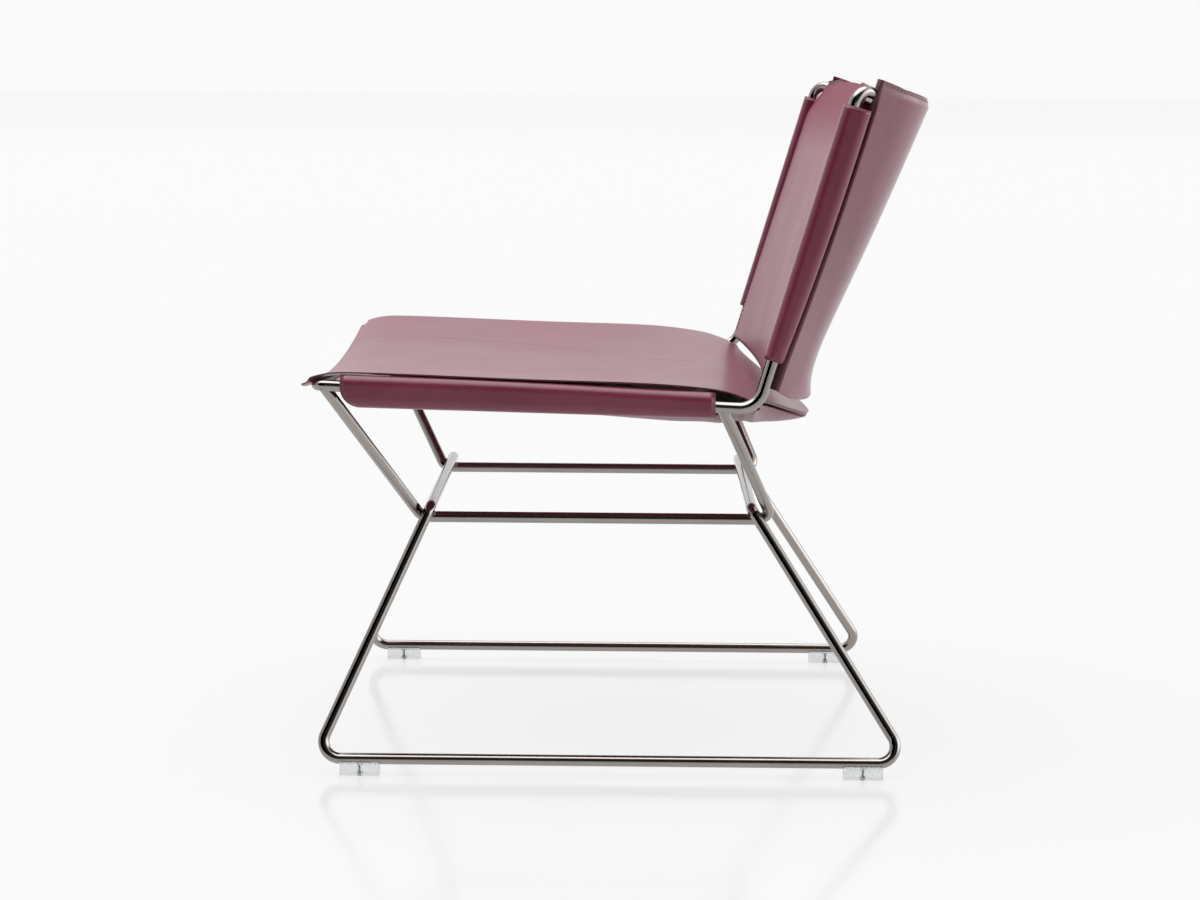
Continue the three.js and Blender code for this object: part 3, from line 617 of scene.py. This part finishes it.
def add_stitches(name, surface, rows):
    points, faces = [], []
    for start, end in rows:
        more, sides = stitch_row(surface, start, end)
        faces.extend(tuple(len(points) + corner for corner in face) for face in sides)
        points.extend(more)
    return add_mesh(name, points, faces, THREAD_MATERIAL)


def add_sheet(name, surface, columns, rows, material, flat, area, rests_on, nodes, seams=(), **options):
    points, faces, edge, flesh = sheet_mesh(surface, columns, rows, **options)
    piece = add_mesh(name, points, faces, material, nodes)
    for label, values in (("edge", edge), ("flesh", flesh)):
        mark = piece.data.attributes.new(label, "FLOAT", "POINT")
        mark.data.foreach_set("value", np.array(values, np.float32))
    sewn = [add_stitches(name.replace("leather", "stitches"), surface, seams)] if seams else []
    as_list(rests_on)


# A sleeve's section: a loop round the rod, longer by a rise on one side and a drop on the other
def loop_point(u, rise, drop):
    arc = math.pi * SLEEVE_R
    flat = rise + drop
    run = (u % 1) * 2 * (arc + flat)
    if run < arc:
        angle = run / SLEEVE_R
        return SLEEVE_R * math.cos(angle), SLEEVE_R * math.sin(angle) + rise
    if run < arc + flat:
        return -SLEEVE_R, rise + arc - run
    if run < 2 * arc + flat:
        angle = (run - flat) / SLEEVE_R
        return SLEEVE_R * math.cos(angle), SLEEVE_R * math.sin(angle) - drop
    return SLEEVE_R, run - 2 * arc - flat - drop


SEAT_SLEEVE_FRONT, SEAT_SLEEVE_ROUND = 279.0, 22.0
SEAT_SLEEVE_RISE = (1.0, 3.5)
SEAT_SLEEVE_DROP = (11.0, 2.0)
SEAT_SLEEVE_REAR = STRUT_TOP_REAR - ROD_R - SLEEVE_CLEAR
SEAT_SLEEVE_LIFT, SEAT_SLEEVE_ARCH = 1.2, 1.4
BACK_SLEEVE_BOTTOM, BACK_SLEEVE_TOP = 52.0, 321.0
BACK_SLEEVE_DEPTH, BACK_SLEEVE_SWELL = (0.5, 9.0), 2.5


def seat_sleeve_rise(y):
    return lerp(*SEAT_SLEEVE_RISE, (y + SEAT_SLEEVE_FRONT) / (SEAT_SLEEVE_REAR + SEAT_SLEEVE_FRONT))


def seat_sleeve_surface(side):
    def surface(u, v):
        drop = lerp(*SEAT_SLEEVE_DROP, v)
        rise = lerp(*SEAT_SLEEVE_RISE, v) + SEAT_SLEEVE_LIFT + SEAT_SLEEVE_ARCH * math.sin(math.pi * v)
        a, b = loop_point(u if side > 0 else -u, rise, drop)
        low = max(0.0, -b / (drop + SLEEVE_R))
        front = -SEAT_SLEEVE_FRONT + SEAT_SLEEVE_ROUND * (1 - math.sqrt(max(0.0, 1 - low * low)))
        y = lerp(front, SEAT_SLEEVE_REAR, v)
        return side * (RAIL_X - a), y, rail_height(y) + b
    return surface


def back_sleeve_depth(along):
    share = (along - BACK_SLEEVE_BOTTOM) / (BACK_SLEEVE_TOP - BACK_SLEEVE_BOTTOM)
    swell = BACK_SLEEVE_SWELL * math.sin(math.pi * min(1.0, max(0.0, share)))
    return lerp(*BACK_SLEEVE_DEPTH, share) + swell


def back_sleeve_surface(side):
    def surface(u, v):
        along = lerp(BACK_SLEEVE_BOTTOM, BACK_SLEEVE_TOP, v)
        a, b = loop_point(u if side > 0 else -u, 0.0, back_sleeve_depth(along))
        return tuple(back_place(side * (RAIL_X - a), along, -b))
    return surface


# Seat panels: profiles along the seat, as heights above the rails
SEAT_OVERHANG, SEAT_LIP = 1.5, 6.0
SEAT_NARROWS, SEAT_NARROWING, SEAT_NARROWING_POWER = 20.0, 120.0, 1.5
SEAT_DROP_START, SEAT_ARCH = 106.0, 3.8
SEAT_FRONT_ARCH = 2.2
TAIL_START, TAIL_LENGTH, TAIL_TAPER, TAIL_SIDE_SHARE = 144.0, 75.5, 2.9, 0.08
TAIL_BREAK_RISE, TAIL_DROP, TAIL_DROP_SHARE = 5.6, 41.3, 0.50
TAIL_MIDDLE = TAIL_START + TAIL_LENGTH / 2
TAIL_END = TAIL_START + TAIL_LENGTH
UNDER_FRONT, UNDER_RIM_DROP, UNDER_TAIL_DROP = 258.0, 8.0, 9.0
UNDER_BELLY, UNDER_BELLY_TAIL = 18.0, 30.0
UNDER_FULLNESS, UNDER_SWELL = (8.0, 3.2), (96.0, 138.0)
UNDER_STRUT_CLEAR, UNDER_STRUT_START = 12.0, 58.0
UNDER_SEAM_DROP = 7.0
WRAP = ROD_R + 2 * SEAM_GAP + LEATHER


def seat_edge_rise(y):
    return SLEEVE_R + seat_sleeve_rise(y) + 2 * SEAM_GAP + LEATHER


class Profile:
    """A smooth curve through points (centripetal Catmull-Rom), read by share or by place."""

    def __init__(self, points, steps=40):
        points = np.array(points, float)
        ends = np.vstack([2 * points[0] - points[1], points, 2 * points[-1] - points[-2]])
        samples = [points[0]]
        for p0, p1, p2, p3 in zip(ends, ends[1:], ends[2:], ends[3:]):
            d0, d1, d2 = (math.sqrt(math.dist(a, b)) for a, b in ((p0, p1), (p1, p2), (p2, p3)))
            start = d1 * ((p1 - p0) / d0 - (p2 - p0) / (d0 + d1) + (p2 - p1) / d1)
            end = d1 * ((p2 - p1) / d1 - (p3 - p1) / (d1 + d2) + (p3 - p2) / d2)
            for w in np.linspace(0, 1, steps + 1)[1:]:
                cubic = (2 * p1 - 2 * p2 + start + end) * w ** 3
                square = (3 * p2 - 3 * p1 - 2 * start - end) * w ** 2
                samples.append(p1 + start * w + (cubic + square))
        self.samples = np.array(samples)
        self.shares = np.linspace(0, 1, len(samples))

    def at(self, share):
        return tuple(np.interp(share, self.shares, self.samples[:, i]) for i in (0, 1))

    def rise(self, y):
        return float(np.interp(y, self.samples[:, 0], self.samples[:, 1]))


TOP_PROFILE = Profile([
    (-FRONT_BAR - WRAP - SEAT_LIP, 0.0),
    (-FRONT_BAR - WRAP, LEATHER),
    (-FRONT_BAR - WRAP * math.sqrt(0.5), WRAP * math.sqrt(0.5) + SEAM_GAP),
    (-FRONT_BAR, WRAP + SEAM_GAP),
    (-FRONT_BAR + 2 * ROD_R, seat_edge_rise(-FRONT_BAR) - LEATHER / 2),
    (-SEAT_SLEEVE_FRONT, seat_edge_rise(-SEAT_SLEEVE_FRONT)),
    (-SEAT_SLEEVE_FRONT / 3, seat_edge_rise(-SEAT_SLEEVE_FRONT / 3) + SEAT_FRONT_ARCH),
    (SEAT_DROP_START / 2, seat_edge_rise(SEAT_DROP_START / 2) + SEAT_ARCH),
    (SEAT_DROP_START, seat_edge_rise(SEAT_DROP_START)),
    ((SEAT_DROP_START + TAIL_START) / 2, (seat_edge_rise(SEAT_DROP_START) + TAIL_BREAK_RISE + LEATHER) / 2),
    (TAIL_START, TAIL_BREAK_RISE),
    (TAIL_MIDDLE, TAIL_BREAK_RISE - TAIL_DROP_SHARE * TAIL_DROP),
    (TAIL_END, TAIL_BREAK_RISE - TAIL_DROP),
])
UNDER_PROFILE = Profile([
    (-UNDER_FRONT, -UNDER_RIM_DROP - LEATHER),
    (-UNDER_FRONT / 3, -UNDER_RIM_DROP),
    (SEAT_DROP_START, -UNDER_RIM_DROP - LEATHER),
    (TAIL_START, -UNDER_RIM_DROP),
    (TAIL_MIDDLE, TOP_PROFILE.rise(TAIL_MIDDLE) - UNDER_TAIL_DROP),
    (TAIL_END - LEATHER, TOP_PROFILE.rise(TAIL_END - LEATHER) - UNDER_TAIL_DROP),
])


def across_of(u):
    return math.sin((u - 0.5) * math.pi)


def tail_row(y, across):
    if y < TAIL_START:
        return y
    tongue = TAIL_SIDE_SHARE + (1 - TAIL_SIDE_SHARE) * max(0.0, 1 - across * across) ** TAIL_TAPER
    return TAIL_START + (y - TAIL_START) * tongue


def top_half_width(y):
    narrow = smooth(SEAT_NARROWS, SEAT_NARROWS + SEAT_NARROWING, y) ** SEAT_NARROWING_POWER
    return lerp(RAIL_X + SEAT_OVERHANG, RAIL_X - 2 * ROD_R, narrow)


SKIVE_WIDTH, SKIVE_SHARE = 18.0, 0.45


def seat_skive(u):
    """Thickness share across the seat's top panel, whose cut sides are thinned."""
    from_side = (1 - abs(across_of(u))) * (RAIL_X + SEAT_OVERHANG)
    return lerp(SKIVE_SHARE, 1.0, smooth(0, SKIVE_WIDTH, from_side))


def seat_top_surface(u, v):
    across = across_of(u)
    y, rise = TOP_PROFILE.at(v)
    y = tail_row(y, across)
    if y > TAIL_START:
        rise = TOP_PROFILE.rise(y)
    x = across * top_half_width(y)
    dip = dip_at(x) * (1 - smooth(0, TAIL_START, y))
    return x, y, rail_height(y) + rise - dip


def under_half_width(y):
    full = RAIL_X - SLEEVE_R - SEAM_GAP
    return full - UNDER_STRUT_CLEAR * smooth(UNDER_STRUT_START, SEAT_DROP_START - 2 * ROD_R, y)


def seat_under_surface(u, v):
    across = -across_of(u)
    row = UNDER_PROFILE.at(v)[0]
    y = tail_row(row, across)
    tail = max(0.0, (row - TAIL_START) / (TAIL_LENGTH - LEATHER))
    rear = smooth(*UNDER_SWELL, row)
    fullness = lerp(*UNDER_FULLNESS, rear)
    belly = lerp(UNDER_BELLY, UNDER_BELLY_TAIL, rear) * (1 - abs(across) ** fullness) * (1 - tail ** 2)
    closed = TOP_PROFILE.rise(y) - UNDER_SEAM_DROP
    sewn = max(tail ** 2, across ** 4 * smooth(SEAT_SLEEVE_REAR, TAIL_START, y))
    rise = lerp(UNDER_PROFILE.rise(y), closed, sewn)
    return across * under_half_width(y), y, rail_height(y) + rise - belly


# Back panels, measured along and square to the uprights
BACK_BOTTOM, BACK_TOP, BACK_CORNER_R, BACK_ROLL = 13.0, 348.0, 28.0, 12.0
BACK_EDGE = (-6.5, -1.5)
BACK_DISH, BACK_DISH_END, BACK_TOP_ARCH = 4.0, 10.0, 5.0
CORNER_ROWS, ROLL_START = 0.625, 0.84


def back_front_surface(u, v):
    across = across_of(u)
    angle = math.pi / 2 * max(0.0, (v - CORNER_ROWS) / (1 - CORNER_ROWS))
    along = lerp(BACK_BOTTOM, BACK_TOP - BACK_CORNER_R, min(1.0, v / CORNER_ROWS))
    along += BACK_CORNER_R * math.sin(angle)
    half = RAIL_X - SLEEVE_R - 3 * SEAM_GAP - BACK_CORNER_R * (1 - math.cos(angle))
    share = (along - BACK_BOTTOM) / (BACK_TOP - BACK_BOTTOM)
    edge = lerp(*BACK_EDGE, share) + BACK_ROLL * smooth(ROLL_START, 1, share)
    middle = BACK_DISH + BACK_DISH_END * (2 * share - 1) ** 4
    along -= BACK_TOP_ARCH * across * across * smooth(CORNER_ROWS, 1, v)
    return tuple(back_place(across * half, along, edge + (middle - edge) * (1 - across * across)))


# Rear panel: a tray hung on the bow, with slanted wings and a lower edge that flares out
WING_GAP, WING_EAR, WING_RISE = 4.5, 3.0, 3.8
TRAY_BOTTOM, TRAY_TOP, TRAY_BULGE, TRAY_TUCK = 23.5, 350.5, 2.0, 5.0
TRAY_WAIST, TRAY_WAIST_DEPTH = 79.0, 48.3
TRAY_FLARE, TRAY_FLARE_LENGTH = 14.0, 22.0
TRAY_REAR_LIFT, TRAY_WING_HANG, TRAY_WING_CREST = 3.0, 5.0, 1.6
TRAY_OFFSET = ROD_R + SEAM_GAP + LEATHER
TRAY_TOP_DEPTH = BOW_DEPTH + TRAY_OFFSET
TRAY_TOP_ALONG = UPRIGHT_LENGTH - BOW_DROP
TRAY_SLOPE = (TRAY_TOP_DEPTH - TRAY_WAIST_DEPTH) / (TRAY_TOP_ALONG - TRAY_WAIST)
TRAY_FOLD_R = BOW_CORNER_R + TRAY_OFFSET
ARM_ANGLE = math.atan2(BOW_INSET, BOW_DEPTH)
HEM_IN, HEM_FORWARD, HEM_TAPER = 20.0, 16.0, 0.65
HEM_COLUMNS, WING_COLUMNS, FOLD_COLUMNS, REAR_COLUMNS = 5, 14, 12, 40
TRAY_COLUMNS = 2 * (HEM_COLUMNS + WING_COLUMNS + FOLD_COLUMNS) + REAR_COLUMNS


def tray_depth(along):
    flare = TRAY_FLARE * math.exp((TRAY_BOTTOM - along) / TRAY_FLARE_LENGTH)
    share = min(1.0, max(0.0, (along - TRAY_WAIST) / (TRAY_TOP_ALONG - TRAY_WAIST)))
    bulge = TRAY_BULGE * math.sin(math.pi * share)
    tuck = TRAY_TUCK * smooth(TRAY_TOP_ALONG + ROD_R, TRAY_TOP, along)
    return TRAY_WAIST_DEPTH + TRAY_SLOPE * (along - TRAY_WAIST) + flare + bulge - tuck


def wing_front(along):
    ear = WING_EAR * smooth(BACK_SLEEVE_TOP, TRAY_TOP, along)
    return back_sleeve_depth(along) + SLEEVE_R + WING_GAP - ear


def wing_x(behind):
    return RAIL_X + (TRAY_OFFSET - behind * math.sin(ARM_ANGLE)) / math.cos(ARM_ANGLE)


def tray_section(along, step):
    """The tray's section on one side: turned-in hem, wing, fold, then half of the rear."""
    front = Vector((wing_x(wing_front(along)), wing_front(along)))
    corner = Vector((wing_x(TRAY_TOP_DEPTH), tray_depth(along)))
    wing = (corner - front).normalized()
    turn = math.acos(-wing.x)
    trim = TRAY_FOLD_R * math.tan(turn / 2)
    fold_start = corner - wing * trim
    if step < 0:
        share = step / HEM_COLUMNS
        reach = 1 - HEM_TAPER * smooth(TRAY_BOTTOM, TRAY_TOP, along)
        return front + Vector((HEM_IN * share, HEM_FORWARD * (2 * share + share * share))) * reach
    if step < WING_COLUMNS:
        return front.lerp(fold_start, step / WING_COLUMNS)
    if step < WING_COLUMNS + FOLD_COLUMNS:
        angle = turn * (step - WING_COLUMNS) / FOLD_COLUMNS
        inward = Vector((-wing.y, wing.x))
        return fold_start + TRAY_FOLD_R * (wing * math.sin(angle) + inward * (1 - math.cos(angle)))
    share = (step - WING_COLUMNS - FOLD_COLUMNS) * 2 / REAR_COLUMNS
    return Vector(((corner.x - trim) * (1 - share), corner.y))


def tray_surface(u, v):
    side = 1 if u < 0.5 else -1
    step = min(u, 1 - u) * TRAY_COLUMNS - HEM_COLUMNS
    wing = min(1.0, max(0.0, 1 - step / WING_COLUMNS))
    rise = (1 + across_of(v)) / 2
    side_end = WING_COLUMNS + FOLD_COLUMNS
    lift = TRAY_REAR_LIFT * smooth(WING_COLUMNS, side_end, step)
    swell = math.sin(math.pi * min(1.0, max(0.0, step / side_end)))
    bottom = TRAY_BOTTOM + lift - TRAY_WING_HANG * swell
    top = TRAY_TOP + TRAY_WING_CREST * swell + WING_RISE * wing
    along = lerp(bottom, top, rise)
    spot = tray_section(along, step)
    return tuple(back_place(side * spot.x, along, spot.y))


BACK_SEAM_INSET, BACK_SEAM_ENDS = 5.0, (0.02, 0.60)
TRAY_SEAM, TRAY_SEAM_ENDS = 0.935, (0.07, 0.93)
HEM_ROWS = 8

# Columns and rows of each sheet's grid
TOP_GRID, UNDER_GRID, SLEEVE_GRID, BACK_GRID = (96, 200), (80, 120), (96, 60), (96, 140)
TRAY_GRID = (TRAY_COLUMNS, 120)


def side_seams(inset, low, high):
    """Two seams down a panel's sides, at an inset given as a share of its half width."""
    reach = math.asin(1 - inset) / math.pi
    return [((0.5 + side * reach, low), (0.5 + side * reach, high)) for side in (1, -1)]


def add_leather():
    add_sheet(
        "seat_top_leather", seat_top_surface, *TOP_GRID, LEATHER_TOP,
        (0.611, 0.55), 0.31, ["seat_front_bar", "left_seat_sleeve", "right_seat_sleeve"],
        ["seat_top_panel"], skive=seat_skive,
    )
    add_sheet(
        "seat_under_leather", seat_under_surface, *UNDER_GRID, LEATHER_UNDER,
        (0.59, 0.48), 0.26, ["left_seat_sleeve", "right_seat_sleeve"], ["seat_under_panel"],
    )
    for name, side in (("left", 1), ("right", -1)):
        add_sheet(
            name + "_seat_sleeve_leather", seat_sleeve_surface(side), *SLEEVE_GRID, LEATHER_SLEEVE,
            (0.080, 0.384), None, [name + "_side_rod"], [name + "_seat_sleeve"], looped=True,
        )
        add_sheet(
            name + "_back_sleeve_leather", back_sleeve_surface(side), *SLEEVE_GRID, LEATHER_SLEEVE,
            (0.072, 0.269), None, [name + "_side_rod"], [name + "_back_sleeve"], looped=True,
        )
    add_sheet(
        "back_front_leather", back_front_surface, *BACK_GRID, LEATHER_BACK,
        (0.588, 0.331), None, ["left_back_sleeve", "right_back_sleeve"], ["back_front_panel"],
        seams=side_seams(BACK_SEAM_INSET / (RAIL_X - SLEEVE_R), *BACK_SEAM_ENDS),
    )
    # The tray's turned-in hem columns are painted in the rim's dark colour as painted shade.
    add_sheet(
        "back_rear_leather", tray_surface, *TRAY_GRID, LEATHER_TRAY,
        (0.70, 0.335), None, ["back_top_bow"], ["back_rear_panel"],
        hem_rows=HEM_ROWS, hem_columns=HEM_COLUMNS, seams=[tuple((u, TRAY_SEAM) for u in TRAY_SEAM_ENDS)],
    )


add_leather()


# Glides and screws keep their solids, with softened corners
BEVEL_WIDTH, BEVEL_STEPS, BEVEL_ANGLE = 0.0006, 3, math.radians(40)


def dress_solids():
    for name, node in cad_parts.items():
        if node.hide_render:
            continue
        finish = SCREW if name.endswith("_screw") else GLIDE
        node.data.materials.clear()
        node.data.materials.append(finish)
        bevel = node.modifiers.new("soft_corners", "BEVEL")
        bevel.width = BEVEL_WIDTH
        bevel.segments = BEVEL_STEPS
        bevel.limit_method = "ANGLE"
        bevel.angle_limit = BEVEL_ANGLE


dress_solids()


# Studio: white floor and white sky, brighter above and behind the back, darker in front and on the left
BACKDROP = 0.955
# Patches of sky: direction, added strength, and the cosines from it at which each starts and is full
SKY = [
    ((-0.05, -0.20, 1.00), 2.60, 0.74, 0.90),
    ((0.05, 1.00, 0.05), 2.20, 0.72, 0.94),
    ((0.30, -0.95, 0.05), -0.30, 0.40, 0.90),
    ((1.00, 0.00, 0.05), -0.92, 0.20, 0.75),
]
FLOOR_COLOR, FLOOR_GLOW, FLOOR_GLOSS, FLOOR_REACH = 0.60, 0.85, 0.65, 60.0


def add_floor():
    n = Nodes("floor_white")
    n.tree.nodes.remove(n.shader)
    spot = n.position()
    wear_and_painted_shade = n.noise(spot, 3.0, 4.0)
    path = n.add("ShaderNodeLightPath").outputs
    mirrored = n.math("MAXIMUM", path["Is Glossy Ray"], path["Is Transmission Ray"])
    seen = n.math("MAXIMUM", path["Is Camera Ray"], mirrored)
    matte = n.add("ShaderNodeBsdfDiffuse", {"Color": (FLOOR_COLOR,) * 3 + (1,)})
    glow = n.add("ShaderNodeEmission", {"Color": (1, 1, 1, 1), "Strength": BACKDROP})
    lit = n.math("MULTIPLY", seen, FLOOR_GLOW)
    base = n.add("ShaderNodeMixShader", {0: lit, 1: matte.outputs[0], 2: glow.outputs[0]})
    rough = n.ramp(wear_and_painted_shade, (0.3, (0.11,) * 3), (0.7, (0.16,) * 3))
    gloss = n.add("ShaderNodeBsdfGlossy", {"Color": (1, 1, 1, 1), "Roughness": rough})
    fresnel = n.add("ShaderNodeFresnel", {"IOR": 1.45}).outputs[0]
    share = n.math("MULTIPLY", fresnel, FLOOR_GLOSS)
    surface = n.add("ShaderNodeMixShader", {0: share, 1: base.outputs[0], 2: gloss.outputs[0]})
    n.put(n.output.inputs["Surface"], surface.outputs[0])
    mesh = bpy.data.meshes.new("floor")
    signs = [(-1, -1), (1, -1), (1, 1), (-1, 1)]
    mesh.from_pydata([(a * FLOOR_REACH, b * FLOOR_REACH, 0) for a, b in signs], [], [(0, 1, 2, 3)])
    floor = bpy.data.objects.new("floor", mesh)
    scene.collection.objects.link(floor)
    mesh.materials.append(n.material)


def add_world():
    world = bpy.data.worlds.new("studio")
    scene.world = world
    world.use_nodes = True
    tree = world.node_tree
    link = tree.links.new
    toward = tree.nodes.new("ShaderNodeTexCoord").outputs["Generated"]
    level = None
    for direction, strength, start, full in SKY:
        facing = tree.nodes.new("ShaderNodeVectorMath")
        facing.operation = "DOT_PRODUCT"
        link(toward, facing.inputs[0])
        facing.inputs[1].default_value = Vector(direction).normalized()
        patch = tree.nodes.new("ShaderNodeMapRange")
        patch.interpolation_type = "SMOOTHSTEP"
        link(facing.outputs["Value"], patch.inputs["Value"])
        patch.inputs["From Min"].default_value = start
        patch.inputs["From Max"].default_value = full
        patch.inputs["To Max"].default_value = strength
        total = tree.nodes.new("ShaderNodeMath")
        if level:
            link(level, total.inputs[0])
        else:
            total.inputs[0].default_value = BACKDROP
        link(patch.outputs["Result"], total.inputs[1])
        level = total.outputs[0]
    seen = tree.nodes.new("ShaderNodeMix")
    path = tree.nodes.new("ShaderNodeLightPath").outputs
    direct = tree.nodes.new("ShaderNodeMath")
    direct.operation = "MAXIMUM"
    link(path["Is Camera Ray"], direct.inputs[0])
    link(path["Is Transmission Ray"], direct.inputs[1])
    link(direct.outputs[0], seen.inputs["Factor"])
    link(level, seen.inputs["A"])
    seen.inputs["B"].default_value = BACKDROP
    background = tree.nodes["Background"]
    background.inputs["Color"].default_value = (1, 1, 1, 1)
    link(seen.outputs["Result"], background.inputs["Strength"])


add_floor()
add_world()
